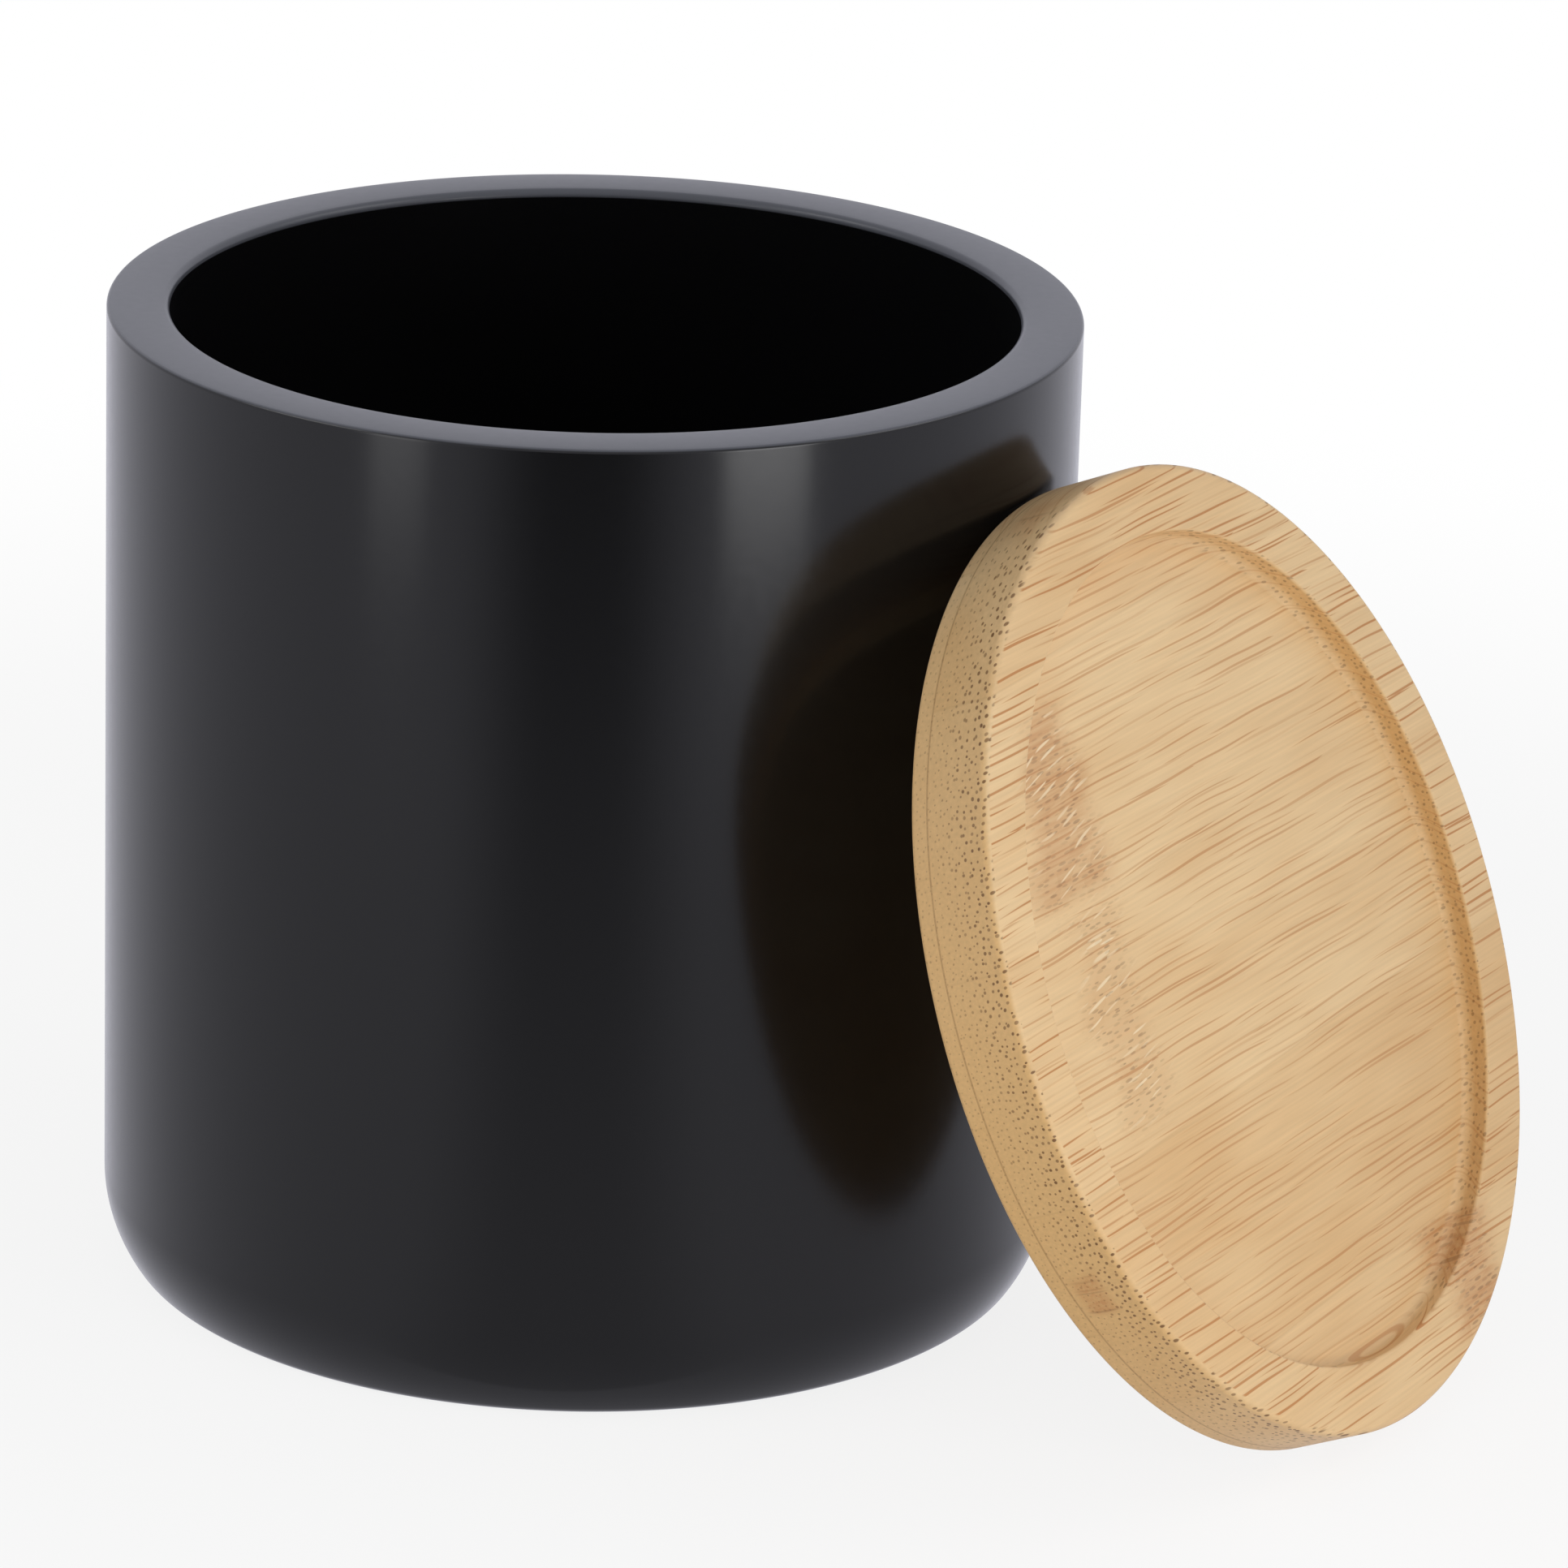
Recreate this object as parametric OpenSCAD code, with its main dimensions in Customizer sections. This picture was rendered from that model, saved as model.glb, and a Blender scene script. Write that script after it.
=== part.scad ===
// Swab jar: a cast round jar with a drawn-in foot, and its machined wooden lid.
// The lid is off. It stands on its edge beside the jar and leans on the jar's wall.
// Origin: the jar's axis, in the plane that the jar stands on. +Z is up.
// The lid leans at the +X side, with its dished face turned away from the jar.

/* [Jar] */
// Outer diameter of the jar
jar_d = 100; // [70:0.5:150]
// Height of the jar
jar_h = 103.2; // [50:0.5:180]
// Thickness of the jar's wall
jar_wall = 6.2; // [3:0.1:10]
// Thickness of the jar's floor
jar_floor = 8; // [3:0.1:15]
// Radius between the cavity's wall and its floor
cavity_corner_r = 8; // [1:0.1:15]
// Rounding of the rim's inner and outer edge
rim_round = 0.4; // [0.1:0.05:1.5]

/* [Foot] */
// Radius of the wide arc that draws the wall in
foot_sweep_r = 14.2; // [10:0.1:30]
// Angle that the wide arc turns through
foot_sweep_angle = 33.8; // [10:0.1:45]
// Radius of the tight arc between the wide arc and the flat base
foot_corner_r = 2; // [0.5:0.1:6]

/* [Lid] */
// Thickness of the lid's board at its rim
lid_t = 8.9; // [6:0.1:14]
// How far the lid's edge stays inside the jar's outer wall
lid_inset = 0.1; // [0:0.05:3]
// Rounding of the edge between the lid's rim and its side
lid_front_round = 0.8; // [0.2:0.05:1.5]
// Rounding of the edge between the lid's underside and its side
lid_back_round = 0.5; // [0.2:0.05:1.5]

/* [Dish] */
// Width of the flat rim that is left round the dish
dish_rim_w = 7; // [3:0.1:15]
// Depth of the dish
dish_depth = 2.7; // [1:0.1:3.5]
// Radius between the dish's wall and its floor
dish_corner_r = 1.2; // [0.2:0.1:1.8]
// Rounding of the dish's upper edge
dish_lip_round = 0.35; // [0.1:0.05:0.6]

/* [Locating step] */
// Height of the step under the lid that drops into the jar's mouth
step_h = 3.2; // [1:0.1:5]
// Clearance all round between the step and the jar's inner wall
step_clearance = 0.6; // [0.2:0.05:2]
// Rounding of the step's outer edge
step_round = 0.5; // [0.1:0.05:0.9]

/* [Leaning lid] */
// Angle of the lid from upright
lean = 24; // [12:0.5:35]
// Space left between the leaning lid and the jar's wall
lean_clearance = 0.2; // [0.1:0.05:0.5]

/* [Hidden] */
$fn = 180;

// Length by which a cut passes the surface that it opens
CUT = 1;
// How far the foot's tight arc stands proud of the wide arc, so that they cross
ARC_LAP = 0.01;

// Jar
jar_r = jar_d / 2;
mouth_r = jar_r - jar_wall;
sweep_centre_r = jar_r - foot_sweep_r;
arc_offset = foot_sweep_r - foot_corner_r;
// Height at which the wide arc leaves the straight wall
foot_h = foot_corner_r + arc_offset * sin(foot_sweep_angle);
// Radius of the flat base, where the tight arc ends
base_r = sweep_centre_r + arc_offset * cos(foot_sweep_angle) + ARC_LAP;
// Height at which the two arcs meet
arcs_meet_h = foot_corner_r * (1 - sin(foot_sweep_angle));

// Lid, lying flat with its underside at height 0
lid_r = jar_r - lid_inset;
dish_r = lid_r - dish_rim_w;
dish_floor_h = lid_t - dish_depth;
step_r = mouth_r - step_clearance;

// Leaning lid: height of its middle, with its lowest edge on the ground
edge_reach = lid_r - lid_back_round;
edge_rest_h = edge_reach * cos(lean) + lid_back_round * (1 - sin(lean));
step_reach = step_r - step_round;
step_rest_h = step_reach * cos(lean) + (step_h - step_round) * sin(lean) + step_round;
lid_mid_h = max(edge_rest_h, step_rest_h);

// Leaning lid: how far it reaches towards the jar from its middle, where its
// upper edge or its step meets the wall, or the rim meets them
rim_up_lid = (jar_h - lid_mid_h) / cos(lean);
rim_up_step = rim_up_lid + step_h * tan(lean);
edge_towards_jar = min(edge_reach, rim_up_lid) * sin(lean) + lid_back_round * (1 - cos(lean));
step_towards_jar = min(step_reach, rim_up_step) * sin(lean) + (step_h - step_round) * cos(lean) + step_round;
lid_mid_x = jar_r + lean_clearance + max(edge_towards_jar, step_towards_jar);

// Flat area between two radii and two heights
module band(r0, h0, r1, h1) {
    polygon([[r0, h0], [r1, h0], [r1, h1], [r0, h1]]);
}

// Flat round area, for an arc of an outline
module disc(r, h, radius) {
    translate([r, h]) circle(r = radius);
}

// Outline of the jar as if it were solid
module jar_outline() {
    band(0, 0, base_r, foot_h);
    disc(base_r, foot_corner_r, foot_corner_r);
    intersection() {
        disc(sweep_centre_r, foot_h, foot_sweep_r);
        band(0, arcs_meet_h, jar_r, jar_h - rim_round);
    }
    band(0, foot_h, jar_r, jar_h - rim_round);
    band(0, foot_h, jar_r - rim_round, jar_h);
    disc(jar_r - rim_round, jar_h - rim_round, rim_round);
}

// Outline of the space inside the jar, open at the top
module cavity_outline() {
    band(0, jar_floor, mouth_r - cavity_corner_r, jar_h + CUT);
    band(0, jar_floor + cavity_corner_r, mouth_r, jar_h + CUT);
    disc(mouth_r - cavity_corner_r, jar_floor + cavity_corner_r, cavity_corner_r);
    difference() {
        band(0, jar_h - rim_round, mouth_r + rim_round, jar_h + CUT);
        disc(mouth_r + rim_round, jar_h - rim_round, rim_round);
    }
}

// Outline of the lid's board, rounded at both outer edges
module board_outline() {
    band(0, 0, lid_r - lid_back_round, lid_back_round);
    disc(lid_r - lid_back_round, lid_back_round, lid_back_round);
    band(0, lid_back_round, lid_r, lid_t - lid_front_round);
    disc(lid_r - lid_front_round, lid_t - lid_front_round, lid_front_round);
    band(0, lid_t - lid_front_round, lid_r - lid_front_round, lid_t);
}

// Outline of the step under the board, rounded at its outer edge
module step_outline() {
    band(0, -step_h, step_r - step_round, 0);
    disc(step_r - step_round, step_round - step_h, step_round);
    band(0, step_round - step_h, step_r, 0);
}

// Outline of the dish, filleted at its floor and rounded at its upper edge
module dish_outline() {
    band(0, dish_floor_h, dish_r - dish_corner_r, lid_t + CUT);
    band(0, dish_floor_h + dish_corner_r, dish_r, lid_t + CUT);
    disc(dish_r - dish_corner_r, dish_floor_h + dish_corner_r, dish_corner_r);
    difference() {
        band(0, lid_t - dish_lip_round, dish_r + dish_lip_round, lid_t + CUT);
        disc(dish_r + dish_lip_round, lid_t - dish_lip_round, dish_lip_round);
    }
}

// The lid as it lies flat, dish upwards
module lid_flat() {
    rotate_extrude() difference() {
        union() {
            board_outline();
            step_outline();
        }
        dish_outline();
    }
}

module jar() {
    color("#2c2c30") rotate_extrude() difference() {
        jar_outline();
        cavity_outline();
    }
}

module lid() {
    color("#dcbf90") translate([lid_mid_x, 0, lid_mid_h]) rotate([0, 90 - lean, 0]) lid_flat();
}

jar();
lid();
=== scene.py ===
"""Looks of a satin black swab jar and the bamboo lid that leans on it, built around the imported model."""

import logging
import math
from dataclasses import dataclass
from enum import Enum
from functools import reduce
from operator import add
from typing import Mapping, Optional, Sequence, Union

import bpy
import numpy as np
from mathutils import Matrix, Vector


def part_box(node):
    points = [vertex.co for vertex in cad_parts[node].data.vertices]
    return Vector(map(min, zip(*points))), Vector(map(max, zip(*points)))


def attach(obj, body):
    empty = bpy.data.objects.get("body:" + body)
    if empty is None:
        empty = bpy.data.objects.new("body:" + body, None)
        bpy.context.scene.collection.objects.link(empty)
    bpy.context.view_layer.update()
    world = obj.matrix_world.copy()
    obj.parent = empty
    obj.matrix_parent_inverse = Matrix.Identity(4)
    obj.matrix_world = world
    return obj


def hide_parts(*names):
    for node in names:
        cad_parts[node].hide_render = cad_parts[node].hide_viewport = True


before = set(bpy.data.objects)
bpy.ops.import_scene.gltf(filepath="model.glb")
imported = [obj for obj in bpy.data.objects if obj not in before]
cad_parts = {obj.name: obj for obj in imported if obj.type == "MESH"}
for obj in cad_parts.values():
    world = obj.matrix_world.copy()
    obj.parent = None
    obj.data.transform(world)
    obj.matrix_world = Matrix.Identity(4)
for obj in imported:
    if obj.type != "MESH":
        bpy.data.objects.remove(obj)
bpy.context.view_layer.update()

MM = 0.001
BODY = "root"
# Share to which a surface cuts the grain across, below 0 where the surface faces the axis
END_GRAIN = "end_grain"

log = logging.getLogger("swab_jar")

Colour = tuple[float, float, float, float]
Value = Union[float, Sequence[float], "Signal"]


class Piece(Enum):
    """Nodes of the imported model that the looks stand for."""

    JAR = "jar"
    LID = "lid"


class Slot(Enum):
    """Material slots of the record."""

    RESIN = "black_resin"
    BAMBOO = "bamboo"


def screen(red: float, green: float, blue: float) -> Colour:
    """Turn a colour as a screen shows it into the linear colour that a shader takes.

    Args:
        red: Red from 0 to 255.
        green: Green from 0 to 255.
        blue: Blue from 0 to 255.

    Returns:
        Linear red, green and blue with an alpha of 1.
    """
    share = np.array([red, green, blue]) / 255
    linear = np.where(share <= 0.04045, share / 12.92, ((share + 0.055) / 1.055) ** 2.4)
    return (float(linear[0]), float(linear[1]), float(linear[2]), 1.0)


# Shader maths


class Signal:
    """A socket's value that takes part in sums and products."""

    def __init__(self, graph: "ShaderGraph", socket: bpy.types.NodeSocket) -> None:
        """Keep the graph that the socket belongs to, and the socket."""
        self.graph = graph
        self.socket = socket

    def __add__(self, other: Value) -> "Signal":
        """Sum."""
        return self.graph.math("ADD", self, other)

    def __sub__(self, other: Value) -> "Signal":
        """Difference."""
        return self.graph.math("SUBTRACT", self, other)

    def __rsub__(self, other: Value) -> "Signal":
        """Difference with a number on the left."""
        return self.graph.math("SUBTRACT", other, self)

    def __mul__(self, other: Value) -> "Signal":
        """Product."""
        return self.graph.math("MULTIPLY", self, other)

    def __truediv__(self, other: Value) -> "Signal":
        """Quotient."""
        return self.graph.math("DIVIDE", self, other)

    def __abs__(self) -> "Signal":
        """Distance from zero."""
        return self.graph.math("ABSOLUTE", self)

    def floor(self) -> "Signal":
        """Largest whole number that isn't above the value."""
        return self.graph.math("FLOOR", self)

    def above(self, limit: Value) -> "Signal":
        """1 where the value is above the limit, and otherwise 0."""
        return self.graph.math("GREATER_THAN", self, limit)

    def largest(self, other: Value) -> "Signal":
        """The larger of two values."""
        return self.graph.math("MAXIMUM", self, other)

    def rise(self, low: Value, high: Value) -> "Signal":
        """Go smoothly from 0 at low to 1 at high."""
        settings = {"interpolation_type": "SMOOTHSTEP"}
        sockets = {"Value": self, "From Min": low, "From Max": high}
        return self.graph.add("ShaderNodeMapRange", settings, sockets)["Result"]

    def fall(self, low: Value, high: Value) -> "Signal":
        """Go smoothly from 1 at low to 0 at high."""
        return 1 - self.rise(low, high)

    def between(self, first: float, second: float) -> "Signal":
        """Go evenly from the first number at a share of 0 to the second at a share of 1."""
        return self * (second - first) + first

    def swing(self, size: float) -> "Signal":
        """Turn a noise about 0.5 into one about 0, of the size given."""
        return (self - 0.5) * size


class PlacedNode:
    """A node in the graph whose outputs are read by name."""

    def __init__(self, graph: "ShaderGraph", node: bpy.types.Node) -> None:
        """Keep the graph and the node."""
        self.graph = graph
        self.node = node

    def __getitem__(self, output: Union[str, int]) -> Signal:
        """Return one output as a signal."""
        return Signal(self.graph, self.node.outputs[output])


class ShaderGraph:
    """A node tree that is written as expressions."""

    def __init__(self, tree: bpy.types.NodeTree) -> None:
        """Empty the tree.

        Args:
            tree: Node tree of a material or a world.
        """
        self.tree = tree
        self.tree.nodes.clear()

    def add(
        self,
        kind: str,
        settings: Optional[Mapping[str, object]] = None,
        sockets: Optional[Mapping[Union[str, int], Value]] = None,
    ) -> PlacedNode:
        """Add a node.

        Args:
            kind: Type of the node.
            settings: Values of its own settings, which are set first.
            sockets: Numbers, colours or signals for its inputs.

        Returns:
            The node, whose outputs are read by name.
        """
        node = self.tree.nodes.new(kind)
        for name, value in (settings or {}).items():
            setattr(node, name, value)
        for name, value in (sockets or {}).items():
            if isinstance(value, Signal):
                self.tree.links.new(value.socket, node.inputs[name])
            else:
                node.inputs[name].default_value = value
        return PlacedNode(self, node)

    def math(self, operation: str, first: Value, second: Value = 0.0) -> Signal:
        """Add a Math node.

        Args:
            operation: Name of the operation.
            first: First number or signal.
            second: Second number or signal.

        Returns:
            The result.
        """
        return self.add("ShaderNodeMath", {"operation": operation}, {0: first, 1: second})[0]

    def vector(self, operation: str, first: Value, second: Value) -> Signal:
        """Add a Vector Math node.

        Args:
            operation: Name of the operation.
            first: First vector.
            second: Second vector.

        Returns:
            The resulting vector.
        """
        settings = {"operation": operation}
        return self.add("ShaderNodeVectorMath", settings, {0: first, 1: second})[0]

    def mix(self, first: Value, second: Value, share: Value) -> Signal:
        """Mix two colours: the first at a share of 0, and the second at a share of 1."""
        settings = {"data_type": "RGBA", "blend_type": "MIX", "clamp_factor": True}
        return self.add("ShaderNodeMix", settings, {0: share, 6: first, 7: second})[2]

    def brightness(self, colour: Value, level: Value) -> Signal:
        """Make a colour lighter or darker by a level, where 1 leaves it as it is."""
        return self.add("ShaderNodeHueSaturation", None, {"Color": colour, "Value": level})["Color"]

    def length(self, vector: Value) -> Signal:
        """Return the length of a vector."""
        return self.add("ShaderNodeVectorMath", {"operation": "LENGTH"}, {0: vector})["Value"]

    def join(self, x: Value, y: Value, z: Value) -> Signal:
        """Make a vector of three numbers."""
        return self.add("ShaderNodeCombineXYZ", None, {"X": x, "Y": y, "Z": z})["Vector"]

    def split(self, vector: Value) -> tuple[Signal, Signal, Signal]:
        """Return the three numbers of a vector."""
        node = self.add("ShaderNodeSeparateXYZ", None, {"Vector": vector})
        return node["X"], node["Y"], node["Z"]

    def millimetres(self, place: Matrix) -> Signal:
        """Read the place on the piece, in millimetres along the axes of a frame.

        Args:
            place: Frame in metres, whose axes and origin the result is measured in.

        Returns:
            The place as a vector.
        """
        settings = {"vector_type": "TEXTURE"}
        sockets = {
            "Vector": self.add("ShaderNodeTexCoord")["Object"],
            "Location": place.translation,
            "Rotation": place.to_euler("XYZ"),
            "Scale": (MM, MM, MM),
        }
        return self.add("ShaderNodeMapping", settings, sockets)["Vector"]

    def noise(self, place: Value, detail: float) -> PlacedNode:
        """Soft noise about 0.5, whose waves are about one unit of the place long."""
        settings = {"noise_dimensions": "3D"}
        return self.add("ShaderNodeTexNoise", settings, {"Vector": place, "Scale": 1.0, "Detail": detail})

    def grains(self, place: Value, flat: bool, randomness: float) -> PlacedNode:
        """Scattered points, one in each unit cell, with the distance to the nearest.

        Args:
            place: Place in units of a cell.
            flat: Whether only X and Y of the place count.
            randomness: How far the points stray from an even grid.

        Returns:
            The node, with the distance to the nearest point, that point's place and its random colour.
        """
        settings = {"voronoi_dimensions": "2D" if flat else "3D", "feature": "F1"}
        sockets = {"Vector": place, "Scale": 1.0, "Randomness": randomness}
        return self.add("ShaderNodeTexVoronoi", settings, sockets)

    def bump(self, height: Value, depth: float) -> Signal:
        """Turn a height into a surface direction.

        Args:
            height: Height as a share.
            depth: Real depth of a share of 1, in metres.

        Returns:
            The direction for a Normal input.
        """
        return self.add("ShaderNodeBump", None, {"Height": height, "Distance": depth})["Normal"]


def new_material(name: str) -> tuple[bpy.types.Material, ShaderGraph]:
    """Make an empty material.

    Args:
        name: Name of the material.

    Returns:
        The material and its graph.
    """
    material = bpy.data.materials.new(name)
    material.use_nodes = True
    return material, ShaderGraph(material.node_tree)


def finish_material(graph: ShaderGraph, shader: Signal) -> None:
    """Lead a shader to the material's surface."""
    graph.add("ShaderNodeOutputMaterial", None, {"Surface": shader})


# Surfaces


@dataclass(frozen=True)
class Turned:
    """A closed surface turned about the Z axis, as whole arrays.

    Attributes:
        points: Place of each point in millimetres.
        outward: Share of each point's outward direction along X and Y, away from the axis.
        quads: Points of each four-sided face.
        caps: Points of each triangle round the two ends of the axis.
    """

    points: np.ndarray
    outward: np.ndarray
    quads: np.ndarray
    caps: np.ndarray


def bend(radius: float, height: float, size: float, start: float, end: float, steps: int) -> np.ndarray:
    """Round stretch of an outline: its centre plus its size times cosine and sine of even angles.

    Args:
        radius: Radius at which the centre lies.
        height: Height at which the centre lies.
        size: Radius of the stretch.
        start: First angle in degrees, from outwards towards up.
        end: Last angle in degrees.
        steps: Number of steps.

    Returns:
        Radius and height of each point.
    """
    angle = np.radians(np.linspace(start, end, steps + 1))
    return np.column_stack([radius + size * np.cos(angle), height + size * np.sin(angle)])


def straight(start: Sequence[float], end: Sequence[float], spacing: float) -> np.ndarray:
    """Straight stretch of an outline: even shares of the way, and one more close to each end.

    The points close to the ends keep the shading of the stretch flat beside a rounded edge.

    Args:
        start: Radius and height of the first end.
        end: Radius and height of the last end.
        spacing: Largest distance between points.

    Returns:
        Radius and height of each point between the ends, without the ends.
    """
    margin = 0.04
    first, last = np.asarray(start, float), np.asarray(end, float)
    length = float(np.linalg.norm(last - first))
    even = np.linspace(0, 1, max(1, math.ceil(length / spacing)) + 1)[1:-1]
    close = min(margin / length, 0.25)
    share = np.unique(np.concatenate([[close], even, [1 - close]]))
    return first + share[:, None] * (last - first)


def outline(*stretches: np.ndarray) -> np.ndarray:
    """Join stretches and single points into one outline, with straight stretches between them."""
    spacing = 4.0
    parts: list[np.ndarray] = []
    for stretch in (np.atleast_2d(s) for s in stretches):
        if parts:
            parts.append(straight(parts[-1][-1], stretch[0], spacing))
        parts.append(stretch)
    return np.concatenate(parts)


def turn(profile: np.ndarray, segments: int) -> Turned:
    """Carry an outline once round the Z axis.

    A point at radius r and height h stands at (r cos t, r sin t, h) for each even angle t. The
    first and the last point lie on the axis, and a cap of triangles closes the surface there.

    Args:
        profile: Radius and height of each point, outwards along the bottom and back along the top.
        segments: Number of steps round the axis.

    Returns:
        The closed surface, with its faces turned outwards.
    """
    steps = np.diff(profile, axis=0)
    steps /= np.linalg.norm(steps, axis=1)[:, None]
    along = steps[:-1] + steps[1:]
    along /= np.linalg.norm(along, axis=1)[:, None]
    rings = profile[1:-1]
    angle = np.linspace(0, 2 * np.pi, segments, endpoint=False)
    ray = np.column_stack([np.cos(angle), np.sin(angle)])
    flat = rings[:, None, :1] * ray[None]
    height = np.broadcast_to(rings[:, None, 1:], flat.shape[:2] + (1,))
    ends = np.array([[0, 0, profile[0, 1]], [0, 0, profile[-1, 1]]])
    points = np.concatenate([np.concatenate([flat, height], axis=2).reshape(-1, 3), ends])
    outward = np.concatenate([(along[:, None, 1:] * ray[None]).reshape(-1, 2), np.zeros((2, 2))])
    here = np.arange(segments)
    beside = (here + 1) % segments
    row = np.arange(len(rings) - 1)[:, None] * segments
    quads = np.stack([row + here, row + beside, row + segments + beside, row + segments + here], axis=2)
    foot = np.full(segments, len(points) - 2)
    top = foot + 1
    last = (len(rings) - 1) * segments
    caps = np.concatenate(
        [np.column_stack([foot, beside, here]), np.column_stack([top, last + here, last + beside])]
    )
    return Turned(points, outward, quads.reshape(-1, 4), caps)


def link_object(name: str, data: bpy.types.ID) -> bpy.types.Object:
    """Put a mesh, a lamp or a camera into the scene.

    Args:
        name: Name of its object.
        data: The mesh, lamp or camera.

    Returns:
        The new object, at the origin.
    """
    thing = bpy.data.objects.new(name, data)
    bpy.context.scene.collection.objects.link(thing)
    return thing


def add_sheet(
    name: str, corners: Sequence[Sequence[float]], material: bpy.types.Material
) -> bpy.types.Object:
    """Put a flat sheet with four corners into the scene.

    Args:
        name: Name of the sheet.
        corners: Place of each corner in metres.
        material: Finish of the sheet.

    Returns:
        The new object.
    """
    mesh = bpy.data.meshes.new(name)
    mesh.from_pydata(corners, [], [(0, 1, 2, 3)])
    mesh.materials.append(material)
    return link_object(name, mesh)


def add_piece(name: str, surface: Turned, place: Matrix, material: bpy.types.Material) -> bpy.types.Object:
    """Put a turned surface into the scene, with its place in its mesh.

    Args:
        name: Name of the piece.
        surface: Surface in millimetres.
        place: Frame in metres that the surface is carried into.
        material: Finish of the piece.

    Returns:
        The new object, at the origin.
    """
    axes = np.array(place.to_3x3())
    points = surface.points @ axes.T * MM + np.array(place.translation)
    corners = np.concatenate([surface.quads.ravel(), surface.caps.ravel()])
    quad_starts = np.arange(len(surface.quads)) * 4
    cap_starts = len(surface.quads) * 4 + np.arange(len(surface.caps)) * 3
    mesh = bpy.data.meshes.new(name)
    mesh.vertices.add(len(points))
    mesh.vertices.foreach_set("co", points.ravel())
    mesh.loops.add(len(corners))
    mesh.loops.foreach_set("vertex_index", corners)
    mesh.polygons.add(len(surface.quads) + len(surface.caps))
    mesh.polygons.foreach_set("loop_start", np.concatenate([quad_starts, cap_starts]))
    mesh.update(calc_edges=True)
    mesh.shade_smooth()
    grain = mesh.attributes.new(END_GRAIN, "FLOAT", "POINT")
    away = np.sign((surface.outward * surface.points[:, :2]).sum(axis=1))
    grain.data.foreach_set("value", (np.abs(surface.outward[:, 0]) * away).astype(np.float32))
    mesh.materials.append(material)
    return link_object(name, mesh)


def hand_over(piece: bpy.types.Object, node: Piece) -> None:
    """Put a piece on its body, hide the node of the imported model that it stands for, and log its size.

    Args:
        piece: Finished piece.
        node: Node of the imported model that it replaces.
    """
    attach(piece, BODY)
    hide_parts(node.value)
    triangles = sum(len(face.vertices) - 2 for face in piece.data.polygons)
    log.info("%s: %d points, %d triangles", piece.name, len(piece.data.vertices), triangles)


# Finishes


@dataclass(frozen=True)
class SatinResin:
    """Cast black resin with a satin skin, a ground rim and a few specks of dust.

    Attributes:
        body: Colour of the resin.
        ground: Colour of the rim, which is ground flat.
        dust: Colour of a speck.
        gloss_level: Strength of the reflections at right angles.
        roughness: Roughness of the skin.
        rim_roughness: Roughness of the ground rim.
        uneven: Range in which the skin's roughness varies.
        skin_waves: Waves of the skin's fine unevenness in a millimetre.
        ripple: Length of the casting's faint waves in millimetres.
        relief_depth: Depth of the relief in millimetres.
        speck_spacing: Distance between specks in millimetres.
        speck_radius: Radius of a speck in millimetres.
        speck_share: Share of the specks that show.
    """

    body: Colour = screen(12, 12, 13)
    ground: Colour = screen(82, 84, 91)
    dust: Colour = screen(120, 122, 128)
    gloss_level: float = 0.33
    roughness: float = 0.17
    rim_roughness: float = 0.3
    uneven: float = 0.06
    skin_waves: float = 0.9
    ripple: float = 26.0
    relief_depth: float = 0.08
    speck_spacing: float = 17.0
    speck_radius: float = 0.16
    speck_share: float = 0.34

    def material(self, rim_height: float, rim_radius: float, edge: float) -> bpy.types.Material:
        """Make the material. The ground rim reaches further down on the side of the mouth, partly as
        painted highlight.

        Args:
            rim_height: Height of the rim above the ground in millimetres.
            rim_radius: Radius of the middle of the rim.
            edge: How much further down the rim reaches round the mouth, partly as painted highlight on the
                rounded edge.

        Returns:
            The material.
        """
        material, graph = new_material("satin_resin")
        place = graph.millimetres(Matrix.Identity(4))
        begins, full = 0.3, 0.12
        from_axis = graph.length(graph.vector("MULTIPLY", place, (1, 1, 0)))
        # Round the mouth the lighter rim colour covers the rounded edge: ground finish, and partly a
        # painted highlight.
        height = graph.split(place)[2] + from_axis.fall(rim_radius - 1, rim_radius + 1) * edge
        rim = height.rise(rim_height - begins, rim_height - full)
        speck = self._specks(graph, place)
        skin = graph.noise(graph.vector("MULTIPLY", place, (self.skin_waves,) * 3), 2.0)["Fac"]
        wave = graph.noise(graph.vector("MULTIPLY", place, (1 / self.ripple,) * 3), 0.0)["Fac"]
        wave_height, skin_height, speck_height = 0.9, 0.02, 0.3
        relief = wave * wave_height + skin * skin_height + speck * speck_height
        sockets = {
            "Base Color": graph.mix(graph.mix(self.body, self.ground, rim), self.dust, speck),
            "Roughness": rim.between(self.roughness, self.rim_roughness) + skin.swing(self.uneven),
            "Specular IOR Level": self.gloss_level,
            "Normal": graph.bump(relief, self.relief_depth * MM),
        }
        finish_material(graph, graph.add("ShaderNodeBsdfPrincipled", None, sockets)["BSDF"])
        return material

    def _specks(self, graph: ShaderGraph, place: Signal) -> Signal:
        """Sparse round specks: some of the scattered points, each within a fraction of a millimetre."""
        strength = 0.6
        cell = graph.vector("MULTIPLY", place, (1 / self.speck_spacing,) * 3)
        grains = graph.grains(cell, False, 1.0)
        chance, size, _ = graph.split(grains["Color"])
        reach = size.between(0.5, 1.2) * (self.speck_radius / self.speck_spacing)
        return grains["Distance"].fall(reach * 0.5, reach) * chance.above(1 - self.speck_share) * strength


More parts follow.
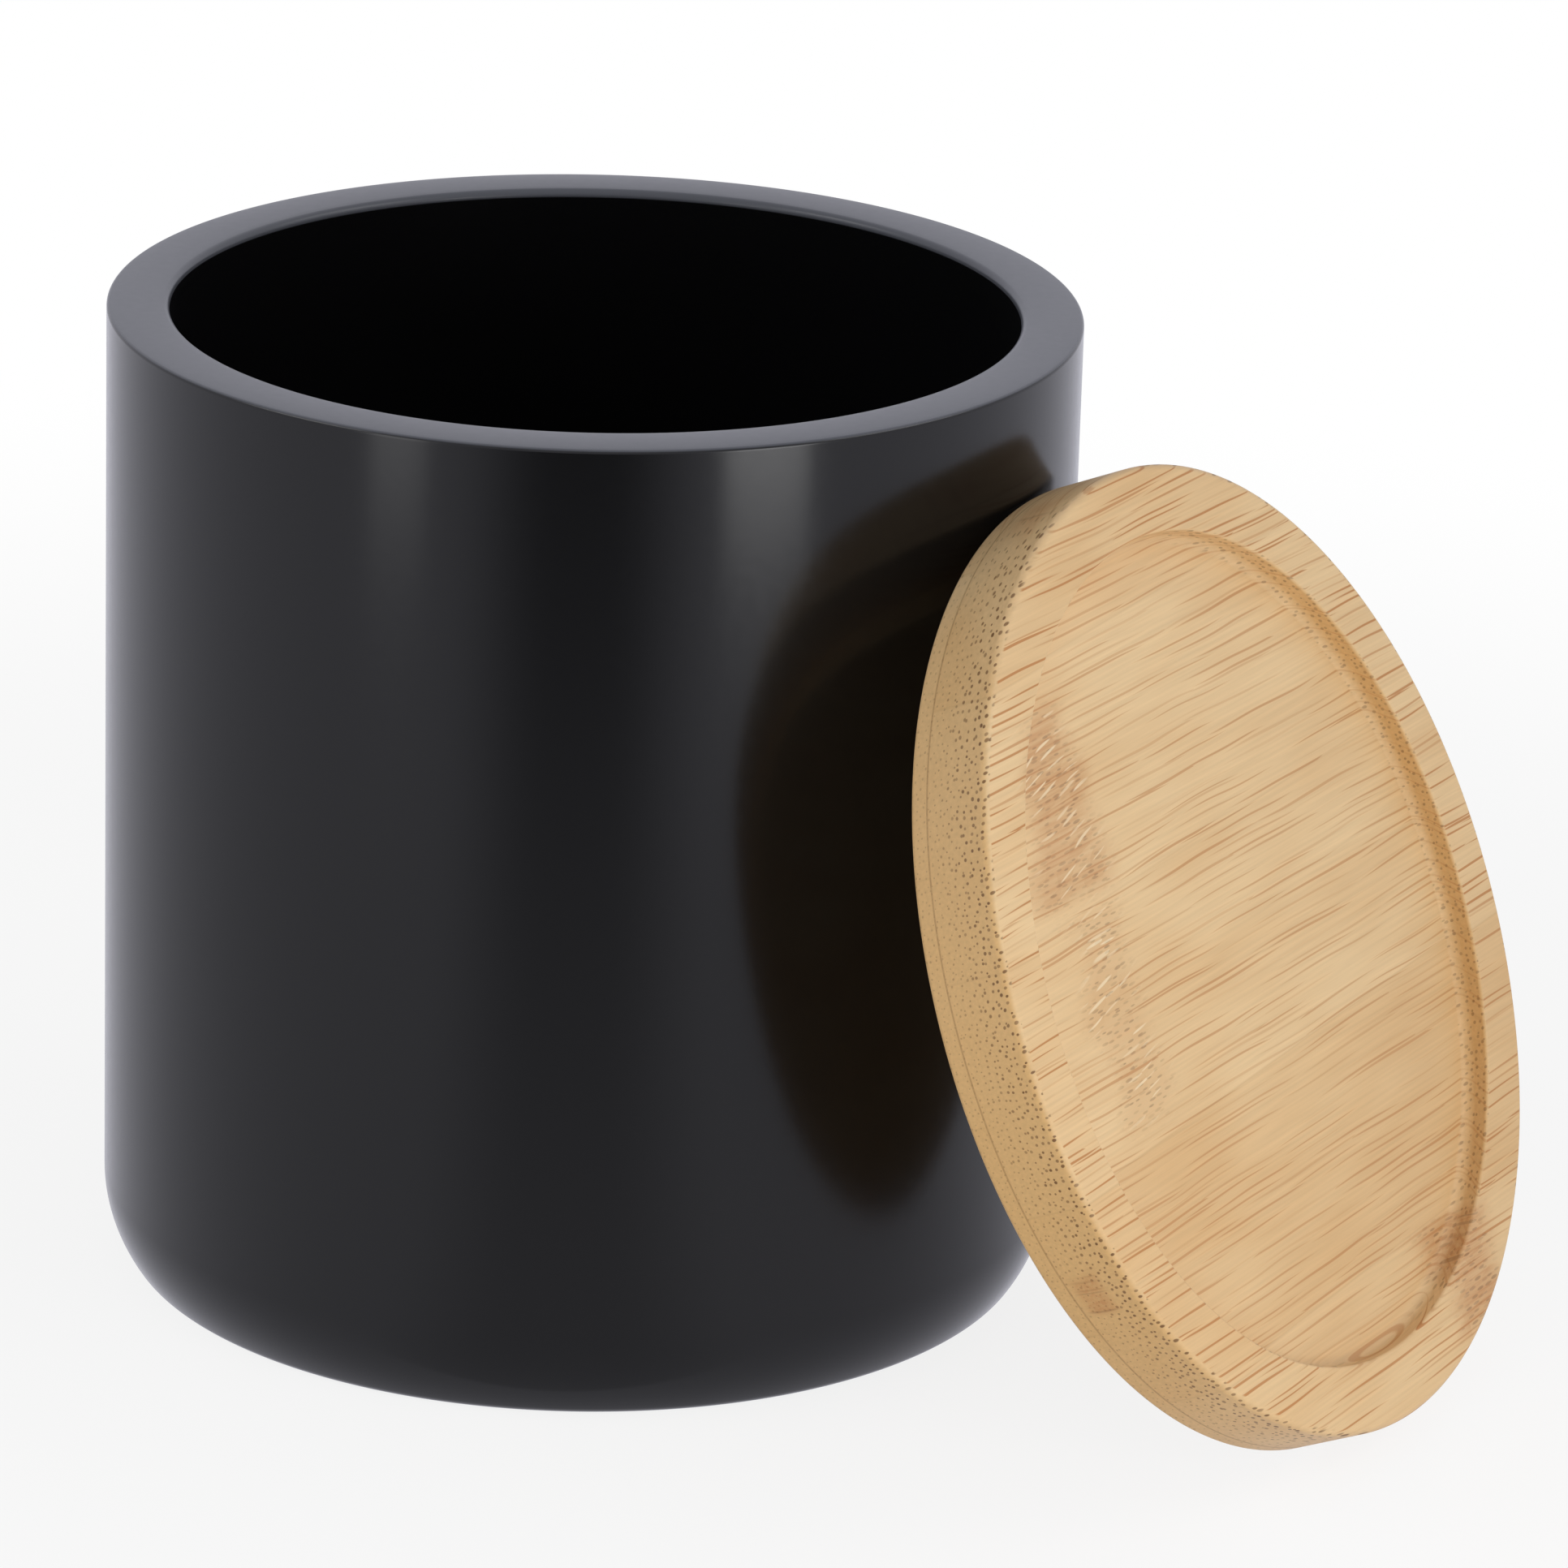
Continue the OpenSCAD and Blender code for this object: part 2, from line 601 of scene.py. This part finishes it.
@dataclass(frozen=True)
class CaneNode:
    """A joint of the cane that shows in one strip, by its place in the lid's own frame.

    Attributes:
        along: Place of its middle along the grain in millimetres.
        across: Place of its middle across the grain.
        depth: Depth of its middle below the lid's face.
        reach_along: Half of its length.
        reach_across: Half of its width.
        reach_depth: Half of its extent in depth.
        brown: Strength of its brown stain.
        fibres: Strength of its pale, wavy fibres, whose paleness is partly a painted highlight of raised
            fibres.
    """

    along: float
    across: float
    depth: float
    reach_along: float
    reach_across: float
    reach_depth: float
    brown: float
    fibres: float

    def share(self, along: Signal, across: Signal, depth: Signal) -> Signal:
        """Share of the node: 1 in the middle of a soft-edged block, and 0 outside it.

        Args:
            along: Place along the grain.
            across: Place across the grain.
            depth: Depth below the lid's face.

        Returns:
            The share.
        """
        out_along = abs(along - self.along) / self.reach_along
        out_across = abs(across - self.across) / self.reach_across
        out_depth = abs(depth - self.depth) / self.reach_depth
        return out_along.fall(0.3, 1.0) * out_across.fall(0.7, 1.0) * out_depth.fall(0.3, 1.0)


@dataclass(frozen=True)
class Strokes:
    """Scattered strokes with tapering ends, one in each cell of an uneven grid. Millimetres.

    Attributes:
        cell: Length and width of a cell.
        half: Half of the length and of the width of an average stroke.
        randomness: How far the strokes stray from an even grid.
    """

    cell: tuple[float, float]
    half: tuple[float, float]
    randomness: float = 0.95

    def draw(
        self, graph: ShaderGraph, along: Signal, across: Signal, scale: Value = 1.0
    ) -> tuple[Signal, Signal, Signal]:
        """Draw the strokes: long ellipses of slightly different sizes.

        Args:
            graph: Graph of the material.
            along: Place along the strokes.
            across: Place across the strokes.
            scale: Size of the strokes, where 1 is the average.

        Returns:
            The share of the nearest stroke, and two random numbers of that stroke.
        """
        full, gone = 0.65, 1.1
        place = graph.join(along / self.cell[0], across / self.cell[1], 0.0)
        grains = graph.grains(place, True, self.randomness)
        stretch = (self.cell[0] / self.half[0], self.cell[1] / self.half[1], 0.0)
        away = graph.vector("MULTIPLY", graph.vector("SUBTRACT", place, grains["Position"]), stretch)
        size, chance, strength = graph.split(grains["Color"])
        out = graph.length(away) / (size.between(0.7, 1.3) * scale)
        return out.fall(full, gone), chance, strength


@dataclass(frozen=True)
class Bamboo:
    """Strips of bamboo glued side by side in two layers, sanded smooth.

    Attributes:
        pale: Colour of the ground where it is lightest.
        warm: Colour of the ground where it is darkest.
        cut: Colour of the ground where the grain is cut across.
        streak: Colour of a bundle that is cut lengthwise.
        dot: Colour of a bundle that is cut across.
        stain: Colour of a node's brown stain.
        fibre: Colour of a node's pale fibres, partly their own colour and partly a painted highlight.
        glue: Colour of a glue line.
        strip: Width of a strip in millimetres.
        strip_edge: Place across the grain of one edge between strips.
        strip_tones: Warmth of the strips from the lowest to the highest, from 0 to 1.
        layer_depth: Depth of the glue line between the two layers.
        layer_shift: How far the lower layer's strips lie to the side of the upper layer's.
        slope: Drift of the fibres across the grain in a millimetre along it.
        wander: Range in which the fibres wander across the grain.
        slow_waves: Waves of the slow noise in a millimetre along and across the grain.
        fine_waves: Waves of the fine noise in the same way.
        inner_cut: Share of the end grain's dots on a wall that faces the axis.
        gloss_level: Strength of the reflections at right angles.
        roughness: Roughness of the wood.
        relief_depth: Depth of the relief in millimetres.
        streaks: Bundles that are cut lengthwise.
        dots: Bundles that are cut across.
        curls: Pale fibres of a node, partly painted highlight on raised fibres.
        flecks: Short dark dashes of a node.
        nodes: The nodes of the cane that show.
    """

    pale: Colour = screen(229, 197, 150)
    warm: Colour = screen(216, 177, 126)
    cut: Colour = screen(211, 169, 111)
    streak: Colour = screen(188, 130, 74)
    dot: Colour = screen(118, 82, 46)
    stain: Colour = screen(184, 126, 74)
    fibre: Colour = screen(243, 222, 184)
    glue: Colour = screen(150, 112, 68)
    strip: float = 24.0
    strip_edge: float = -11.4
    strip_tones: tuple[float, ...] = (0.5, 0.75, 0.35, 0.2, 0.5)
    layer_depth: float = 6.9
    layer_shift: float = 10.0
    slope: float = 0.032
    wander: float = 1.2
    slow_waves: tuple[float, float] = (0.045, 0.16)
    fine_waves: tuple[float, float] = (0.06, 2.6)
    inner_cut: float = 0.55
    gloss_level: float = 0.35
    roughness: float = 0.5
    relief_depth: float = 0.02
    streaks: Strokes = Strokes((26.0, 0.85), (11.5, 0.12))
    dots: Strokes = Strokes((0.7, 0.7), (0.155, 0.155), 0.8)
    curls: Strokes = Strokes((4.2, 1.1), (2.0, 0.13))
    flecks: Strokes = Strokes((1.7, 0.7), (0.65, 0.13))
    nodes: tuple[CaneNode, ...] = (
        CaneNode(-25.5, 22.6, 2.0, 9.0, 10.8, 6.0, 0.9, 0.9),
        CaneNode(-25.0, 0.6, 2.0, 7.5, 12.3, 6.0, 0.35, 0.9),
        CaneNode(18.5, -41.0, 1.5, 9.0, 6.5, 5.0, 1.0, 0.1),
        CaneNode(-45.1, -21.4, 4.7, 4.0, 3.5, 2.2, 1.0, 0.0),
        CaneNode(-8.9, 49.1, 4.1, 6.0, 3.0, 2.5, 0.5, 0.0),
    )

    def material(self, face: Matrix) -> bpy.types.Material:
        """Make the material.

        Args:
            face: Frame of the lid's face, with X along the grain and Z out of the face.

        Returns:
            The material.
        """
        material, graph = new_material("sanded_bamboo")
        along, across, height = graph.split(graph.millimetres(face))
        depth = 0 - height
        facing = graph.add("ShaderNodeAttribute", {"attribute_name": END_GRAIN})["Fac"]
        end = abs(facing)
        shift = depth.above(self.layer_depth) * self.layer_shift
        strip_place = (across - self.strip_edge - shift) / self.strip
        sloped = across + along * self.slope
        slow, fine = (
            graph.noise(graph.join(along * length, sloped * width, height * width), detail)
            for (length, width), detail in ((self.slow_waves, 1.0), (self.fine_waves, 2.0))
        )
        patch, sideways, edge = graph.split(slow["Color"])
        line = fine["Fac"]
        fibre_across = sloped + sideways.swing(self.wander)
        colour = self._ground(graph, patch, line, self._tone(strip_place), end.rise(0.25, 0.95))
        cut = end.rise(0.05, 0.3) * facing.above(0.0).between(self.inner_cut, 1.0)
        colour = self._bundles(graph, colour, along, fibre_across, height, patch, cut)
        colour = self._knots(graph, colour, along, fibre_across, depth, edge, line)
        sockets = {
            "Base Color": graph.mix(colour, self.glue, self._glue_lines(strip_place, depth, line)),
            "Roughness": self.roughness,
            "Specular IOR Level": self.gloss_level,
            "Normal": graph.bump(line, self.relief_depth * MM),
        }
        finish_material(graph, graph.add("ShaderNodeBsdfPrincipled", None, sockets)["BSDF"])
        return material

    def _tone(self, strip_place: Signal) -> Value:
        """Warmth of the strip: the lowest strip's, with a step at each edge between strips."""
        lowest = -2
        tone: Value = self.strip_tones[0]
        for step, (below, warmth) in enumerate(zip(self.strip_tones, self.strip_tones[1:])):
            tone = strip_place.above(lowest + step + 1) * (warmth - below) + tone
        return tone

    def _ground(self, graph: ShaderGraph, patch: Signal, line: Signal, tone: Value, cut: Signal) -> Signal:
        """Ground between the bundles: slow patches, fine lines along the grain and a tone for each strip.

        Args:
            graph: Graph of the material.
            patch: Slow noise.
            line: Fine noise that is drawn out along the grain.
            tone: Warmth of the strip.
            cut: Share to which the grain is cut across.

        Returns:
            The colour of the ground.
        """
        patchiness, cut_strength, line_strength = 1.4, 0.85, 0.26
        colour = graph.mix(self.pale, self.warm, patch.swing(patchiness) + tone)
        colour = graph.mix(colour, self.cut, cut * cut_strength)
        return graph.brightness(colour, line.swing(line_strength) + 1)

    def _bundles(
        self,
        graph: ShaderGraph,
        colour: Signal,
        along: Signal,
        across: Signal,
        height: Signal,
        patch: Signal,
        cut: Signal,
    ) -> Signal:
        """Paint the fibre bundles: streaks on a flat surface, and dots where the grain is cut across.

        The streaks are strongest on the rim and the dots near the lid's face, where the cane was
        close to its skin.

        Args:
            graph: Graph of the material.
            colour: Colour of the wood so far.
            along: Place along the grain.
            across: Place across the fibres.
            height: Height above the lid's face.
            patch: Slow noise, which makes the streaks weaker in places.
            cut: Share of the dots.

        Returns:
            The new colour.
        """
        steepness = 0.83
        on_rim, near_face = height.rise(-2.2, -0.3), height.rise(-7.5, -1.0)
        streak, _, strength = self.streaks.draw(graph, along, across + height * steepness)
        strong = strength.rise(-0.2, 0.8) * patch.between(0.7, 1.3) * on_rim.between(0.65, 1.0)
        dot, _, darkness = self.dots.draw(graph, across, height, near_face.between(0.65, 1.0))
        dark = darkness.between(0.6, 1.0) * near_face.between(0.4, 1.0)
        colour = graph.mix(colour, self.streak, streak * strong * (1 - cut))
        return graph.mix(colour, self.dot, dot * dark * cut)

    def _knots(
        self,
        graph: ShaderGraph,
        colour: Signal,
        along: Signal,
        across: Signal,
        depth: Signal,
        edge: Signal,
        line: Signal,
    ) -> Signal:
        """Paint the nodes of the cane: a soft stain, short dark dashes and pale fibres that bend up, partly
        painted highlight.

        Args:
            graph: Graph of the material.
            colour: Colour of the wood so far.
            along: Place along the grain.
            across: Place across the fibres.
            depth: Depth below the lid's face.
            edge: Slow noise, with which the nodes' edges wave.
            line: Fine noise, which breaks up the stain.

        Returns:
            The new colour.
        """
        climb, bend_range, wave_range = 0.15, 5.0, 14.0
        bent = across - along * climb + edge.swing(bend_range)
        fibre_glint, kind, strength = self.curls.draw(graph, along, bent)
        fleck, _, darkness = self.flecks.draw(graph, along, across)
        waved = along + edge.swing(wave_range)
        shares = [(node, node.share(waved, across, depth)) for node in self.nodes]
        brown = reduce(add, (share * node.brown for node, share in shares))
        fibres = reduce(add, (share * node.fibres for node, share in shares))
        broken = line.between(-0.2, 0.9) + strength * 0.25
        colour = graph.mix(colour, self.stain, brown * broken)
        colour = graph.mix(colour, self.dot, fleck * brown.largest(fibres) * darkness.between(0.1, 0.55))
        # Pale fibres: partly their own colour, partly a painted highlight of raised fibres.
        return graph.mix(colour, self.fibre, fibre_glint * kind.above(0.4) * fibres * strength.between(0.35, 0.85))

    def _glue_lines(self, strip_place: Signal, depth: Signal, line: Signal) -> Signal:
        """Hair-thin lines of glue between the strips and, stronger, between the two layers.

        Args:
            strip_place: Place across the grain in widths of a strip.
            depth: Depth below the lid's face.
            line: Fine noise, which breaks up the lines.

        Returns:
            The share of glue.
        """
        half_width, strip_end, layer_end, strip_strength = 0.06, 0.15, 0.132, 0.2
        to_edge = abs(strip_place - (strip_place + 0.5).floor()) * self.strip
        between_strips = to_edge.fall(half_width, strip_end) * strip_strength
        between_layers = abs(depth - self.layer_depth).fall(half_width, layer_end)
        return between_strips.largest(between_layers) * line


@dataclass(frozen=True)
class PaleFloor:
    """Plain matt white floor.

    Attributes:
        colour: Colour of the floor.
        lift: Share of plain white that the camera and reflections see round the object.
        near: Distance from the jar's axis up to which the share stays so, in millimetres.
        far: Distance from which on they see plain white alone.
    """

    colour: Colour = (0.86, 0.86, 0.86, 1.0)
    lift: float = 0.85
    near: float = 150.0
    far: float = 320.0

    def material(self) -> bpy.types.Material:
        """Make the material.

        Returns:
            The material.
        """
        material, graph = new_material("pale_floor")
        matt = graph.add("ShaderNodeBsdfDiffuse", None, {"Color": self.colour})["BSDF"]
        seen, colour = backdrop(graph)
        white = graph.add("ShaderNodeEmission", None, {"Color": colour, "Strength": 1.0})["Emission"]
        own_light = graph.length(graph.millimetres(Matrix.Identity(4))).fall(self.near, self.far)
        share = seen * (1 - own_light * (1 - self.lift))
        finish_material(graph, graph.add("ShaderNodeMixShader", None, {0: share, 1: matt, 2: white})[0])
        return material


def backdrop(graph: ShaderGraph) -> tuple[Signal, Signal]:
    """Plain backdrop that the camera and reflections see, and that gives no light.

    Args:
        graph: Graph of the floor or of the surroundings.

    Returns:
        1 for what the camera sees, itself or in a reflection or through glass, and otherwise 0,
        and the backdrop's colour, which is white and in reflections a cool white.
    """
    cool = (0.9, 0.9, 1.0, 1.0)
    path = graph.add("ShaderNodeLightPath")
    mirrored = path["Is Glossy Ray"]
    seen = path["Is Camera Ray"].largest(mirrored).largest(path["Is Transmission Ray"])
    return seen, graph.mix((1, 1, 1, 1), cool, mirrored)


# Sub-assemblies


@dataclass
class Jar:
    """Cast round jar: straight wall, flat rim, and a foot drawn in by two arcs. Millimetres.

    Attributes:
        radius: Outer radius.
        height: Height.
        wall: Thickness of the wall.
        floor: Thickness of the floor.
        cavity_corner: Radius between the cavity's wall and its floor.
        rim_round: Rounding of the rim's outer edge.
        mouth_round: Rounding of the rim's inner edge.
        rim_crown: Angle from level at which the slightly domed rim meets its edges, in degrees.
        foot_sweep: Radius of the wide arc that draws the foot in.
        foot_angle: Angle that the wide arc turns through, in degrees.
        foot_corner: Radius of the tight arc at the base.
        segments: Steps round the axis.
    """

    radius: float = 50.0
    height: float = 103.2
    wall: float = 6.4
    floor: float = 8.0
    cavity_corner: float = 8.0
    rim_round: float = 0.4
    mouth_round: float = 0.7
    rim_crown: float = 3.5
    foot_sweep: float = 14.2
    foot_angle: float = 33.8
    foot_corner: float = 2.0
    segments: int = 512

    def profile(self) -> np.ndarray:
        """Outline from the middle of the base, up the wall, over the rim and down to the cavity's floor.

        Returns:
            Radius and height of each point.
        """
        mouth = self.radius - self.wall
        offset = self.foot_sweep - self.foot_corner
        sweep_radius = self.radius - self.foot_sweep
        sweep_height = self.foot_corner + offset * math.sin(math.radians(self.foot_angle))
        base = sweep_radius + offset * math.cos(math.radians(self.foot_angle))
        inner = mouth - self.cavity_corner
        foot = bend(base, self.foot_corner, self.foot_corner, -90, -self.foot_angle, 10)
        sweep = bend(sweep_radius, sweep_height, self.foot_sweep, -self.foot_angle, 0, 14)
        return outline(
            np.array([0.0, 0.0]),
            np.concatenate([foot, sweep[1:]]),
            self._rim(mouth),
            bend(inner, self.floor + self.cavity_corner, self.cavity_corner, 0, -90, 14),
            np.array([0.0, self.floor]),
        )

    def _rim(self, mouth: float) -> np.ndarray:
        """Outline of the rim: a wide, flat arc between two tight ones, each tangent to the next.

        Args:
            mouth: Radius of the mouth.

        Returns:
            Radius and height of each point, from outside to inside.
        """
        tilt, drop = math.sin(math.radians(self.rim_crown)), 1 - math.cos(math.radians(self.rim_crown))
        low, high = 90 - self.rim_crown, 90 + self.rim_crown
        outer, inner = self.radius - self.rim_round, mouth + self.mouth_round
        middle = (outer + inner + tilt * (self.rim_round - self.mouth_round)) / 2
        wide = (outer - middle) / tilt + self.rim_round
        outer_height, inner_height = (
            self.height - size - (wide - size) * drop for size in (self.rim_round, self.mouth_round)
        )
        outside = bend(outer, outer_height, self.rim_round, 0, low, 8)
        top = bend(middle, self.height - wide, wide, low, high, 8)
        inside = bend(inner, inner_height, self.mouth_round, high, 180, 8)
        return np.concatenate([outside, top[1:-1], inside])

    def build(self) -> None:
        """Make the jar and dress it."""
        surface = turn(self.profile(), self.segments)
        material = SatinResin().material(self.height, self.radius - self.wall / 2, self.mouth_round)
        piece = add_piece("cast_jar", surface, Matrix.Identity(4), material)
        hand_over(piece, Piece.JAR)


@dataclass
class Lid:
    """Turned bamboo lid with a dish in its face and a step under it, leaning on the jar. Millimetres.

    Attributes:
        radius: Outer radius.
        thickness: Thickness of the board at its rim.
        face_round: Rounding of the edge between face and side.
        back_round: Rounding of the edge between underside and side.
        dish_radius: Radius of the dish.
        dish_depth: Depth of the dish.
        dish_corner: Radius between the dish's wall and its floor.
        dish_lip: Rounding of the dish's upper edge.
        step_radius: Radius of the step.
        step_height: Height of the step.
        step_round: Rounding of the step's outer edge.
        lean: Angle from upright in degrees.
        segments: Steps round the axis.
    """

    radius: float = 49.9
    thickness: float = 8.9
    face_round: float = 0.8
    back_round: float = 0.5
    dish_radius: float = 42.9
    dish_depth: float = 2.7
    dish_corner: float = 1.2
    dish_lip: float = 0.35
    step_radius: float = 43.2
    step_height: float = 3.2
    step_round: float = 0.5
    lean: float = 24.0
    segments: int = 512

    def profile(self) -> np.ndarray:
        """Outline from the middle of the step, out round the board and back into the dish.

        Returns:
            Radius and height of each point, with the board's underside at height 0.
        """
        dish_floor = self.thickness - self.dish_depth
        step_edge = self.step_radius - self.step_round
        lip = self.dish_radius + self.dish_lip
        corner = self.dish_radius - self.dish_corner
        face_edge = self.radius - self.face_round
        return outline(
            np.array([0.0, -self.step_height]),
            bend(step_edge, self.step_round - self.step_height, self.step_round, -90, 0, 6),
            np.array([self.step_radius, 0.0]),
            bend(self.radius - self.back_round, self.back_round, self.back_round, -90, 0, 8),
            bend(face_edge, self.thickness - self.face_round, self.face_round, 0, 90, 12),
            bend(lip, self.thickness - self.dish_lip, self.dish_lip, 90, 180, 8),
            bend(corner, dish_floor + self.dish_corner, self.dish_corner, 0, -90, 10),
            np.array([0.0, dish_floor]),
        )

    def place(self, surface: Turned) -> Matrix:
        """Frame in which the lid leans: X along the grain, Y up the slope, Z out of the dish.

        The frame's origin puts the lid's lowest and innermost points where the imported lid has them.

        Args:
            surface: Surface of the lid as it lies flat.

        Returns:
            The frame in metres.
        """
        sine, cosine = math.sin(math.radians(self.lean)), math.cos(math.radians(self.lean))
        axes = np.array([[0, -sine, cosine], [1, 0, 0], [0, cosine, sine]])
        low, high = (np.array(corner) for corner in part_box(Piece.LID.value))
        reach = (surface.points @ axes.T * MM).min(axis=0)
        origin = low - reach
        origin[1] = (low[1] + high[1]) / 2
        return Matrix.Translation(origin.tolist()) @ Matrix(axes.tolist()).to_4x4()

    def build(self) -> None:
        """Make the lid and dress it."""
        surface = turn(self.profile(), self.segments)
        place = self.place(surface)
        face = place @ Matrix.Translation((0, 0, self.thickness * MM))
        piece = add_piece("bamboo_lid", surface, place, Bamboo().material(face))
        hand_over(piece, Piece.LID)


# Studio


def rotation(degrees: float, axis: str) -> Matrix:
    """Turn about one axis."""
    return Matrix.Rotation(math.radians(degrees), 4, axis)


@dataclass(frozen=True)
class PhotoCamera:
    """Camera at the photograph's angle, in degrees and metres.

    Attributes:
        azimuth: Way round the object, from the side that looks along +Y.
        elevation: Height angle above the object.
        distance: Distance from the point that it circles.
        aim_height: Height of that point above the ground.
        yaw: Turn to the left of that point.
        pitch: Turn below that point.
        roll: Turn about the line of sight.
        focal_length: Focal length in millimetres, on a sensor as wide as below.
        sensor: Width of the sensor in millimetres.
    """

    azimuth: float = 29.25166
    elevation: float = 19.49744
    distance: float = 0.91521
    aim_height: float = 0.05162
    yaw: float = -1.2946
    pitch: float = 0.00537
    roll: float = 1.24093
    focal_length: float = 201.3
    sensor: float = 36.0

    def build(self) -> None:
        """Make the camera and set it as the scene's."""
        circle = rotation(self.azimuth, "Z") @ rotation(90 - self.elevation, "X")
        aim = rotation(self.yaw, "Y") @ rotation(-self.pitch, "X")
        turned = circle @ aim @ rotation(self.roll, "Z")
        spot = Vector((0, 0, self.aim_height)) + circle.to_3x3().col[2] * self.distance
        lens = bpy.data.cameras.new("photo_camera")
        lens.lens = self.focal_length
        lens.sensor_fit = "HORIZONTAL"
        lens.sensor_width = self.sensor
        camera = link_object("photo_camera", lens)
        camera.matrix_world = Matrix.Translation(spot) @ turned
        bpy.context.scene.camera = camera


@dataclass(frozen=True)
class Softbox:
    """Upright soft lamp that stands beside the object and faces the jar's axis.

    Attributes:
        name: Name of the lamp.
        azimuth: Way round the jar in degrees, from the side that looks along +Y.
        distance: Distance from the jar's axis in metres.
        base: Height of its lower edge in metres.
        width: Width in metres.
        height: Height in metres.
        glow: Brightness of its surface, where white paper in full light has 1.
    """

    name: str
    azimuth: float
    distance: float
    base: float
    width: float
    height: float
    glow: float

    def build(self) -> None:
        """Make the lamp and stand it in its place."""
        lamp = bpy.data.lights.new(self.name, "AREA")
        lamp.shape = "RECTANGLE"
        lamp.size = self.width
        lamp.size_y = self.height
        lamp.energy = self.glow * math.pi * self.width * self.height
        stand = Matrix.Translation((0, -self.distance, self.base + self.height / 2))
        holder = link_object(self.name, lamp)
        holder.matrix_world = rotation(self.azimuth, "Z") @ stand @ rotation(90, "X")
        holder.visible_camera = False


@dataclass(frozen=True)
class DarkCloth:
    """Dark cloth on the floor in front of the jar, which shows in reflections only.

    Attributes:
        azimuth: Way round the jar in degrees, from the side that looks along +Y.
        start: Distance from the jar's axis at which it begins to darken the floor, in millimetres.
        full: Distance at which it is darkest.
        end: Distance at which it ends.
        core: Half of its angle in degrees, where it is darkest.
        edge: Half of its angle up to its thin edge.
        strength: Share of the floor that it covers where it is darkest.
    """

    azimuth: float = 27.0
    start: float = -170.0
    full: float = 520.0
    end: float = 1500.0
    core: float = 6.0
    edge: float = 30.0
    strength: float = 0.95

    def build(self) -> None:
        """Lay the cloth: a wedge that widens away from the jar, just above the floor."""
        near, lift = 50.0, 0.5
        spread = math.tan(math.radians(self.edge))
        turned = rotation(self.azimuth, "Z")
        outer = ((-1, near), (-1, self.end), (1, self.end), (1, near))
        corners = [turned @ (Vector((side * spread * away, -away, lift)) * MM) for side, away in outer]
        cloth = add_sheet("dark_cloth", corners, self._material(turned))
        for ray in ("camera", "diffuse", "shadow", "transmission"):
            setattr(cloth, f"visible_{ray}", False)

    def _material(self, turned: Matrix) -> bpy.types.Material:
        """Black that thins out towards the jar and towards both sides.

        Args:
            turned: Frame whose -Y runs along the middle of the cloth.

        Returns:
            The material.
        """
        material, graph = new_material("dark_cloth")
        sideways, back, _ = graph.split(graph.millimetres(turned))
        away = 0 - back
        core, edge = (math.tan(math.radians(angle)) for angle in (self.core, self.edge))
        share = away.rise(self.start, self.full) * (abs(sideways) / away).fall(core, edge) * self.strength
        black = graph.add("ShaderNodeBsdfDiffuse", None, {"Color": (0, 0, 0, 1)})["BSDF"]
        clear = graph.add("ShaderNodeBsdfTransparent")["BSDF"]
        finish_material(graph, graph.add("ShaderNodeMixShader", None, {0: share, 1: clear, 2: black})[0])
        return material


@dataclass
class Studio:
    """Pale floor, white surroundings, soft lamps and a dark cloth.

    Attributes:
        floor_size: Half of the floor's width in metres.
        surround: Level of the light from all round.
        lamps: The softboxes.
        cloth: The cloth that the jar's middle reflects.
    """

    floor_size: float = 6.0
    surround: float = 0.46
    lamps: tuple[Softbox, ...] = (
        Softbox("softbox_left", -13.5, 0.36, 0.0, 0.08, 0.25, 2.2),
        Softbox("softbox_right", 67.5, 0.36, 0.0, 0.12, 0.16, 5.2),
        Softbox("softbox_far_left", -45.0, 1.0, 0.5, 0.6, 0.5, 2.6),
        Softbox("softbox_far_right", 110.0, 0.9, 0.5, 0.7, 0.6, 1.9),
    )
    cloth: DarkCloth = DarkCloth()

    def build(self) -> None:
        """Make the floor, the surroundings, the cloth and the lamps."""
        self._floor()
        self._surroundings()
        self.cloth.build()
        for lamp in self.lamps:
            lamp.build()
        bpy.context.scene.view_settings.view_transform = "Standard"

    def _floor(self) -> None:
        """Lay the floor: four corners at ground level."""
        corners = np.array([[-1, -1, 0], [1, -1, 0], [1, 1, 0], [-1, 1, 0]]) * self.floor_size
        floor = add_sheet("floor", corners.tolist(), PaleFloor().material())

    def _surroundings(self) -> None:
        """Even light from all round, in which the camera and reflections see the plain backdrop."""
        world = bpy.data.worlds.new("surroundings")
        world.use_nodes = True
        graph = ShaderGraph(world.node_tree)
        seen, colour = backdrop(graph)
        level = seen.between(self.surround, 1.0)
        light = graph.add("ShaderNodeBackground", None, {"Color": colour, "Strength": level})
        graph.add("ShaderNodeOutputWorld", None, {"Surface": light["Background"]})
        bpy.context.scene.world = world


def main() -> None:
    """Build the camera, the two pieces and the studio, in that order."""
    logging.basicConfig(level=logging.INFO, format="%(name)s: %(message)s")
    PhotoCamera().build()
    Jar().build()
    Lid().build()
    Studio().build()


if __name__ == "__main__":
    main()
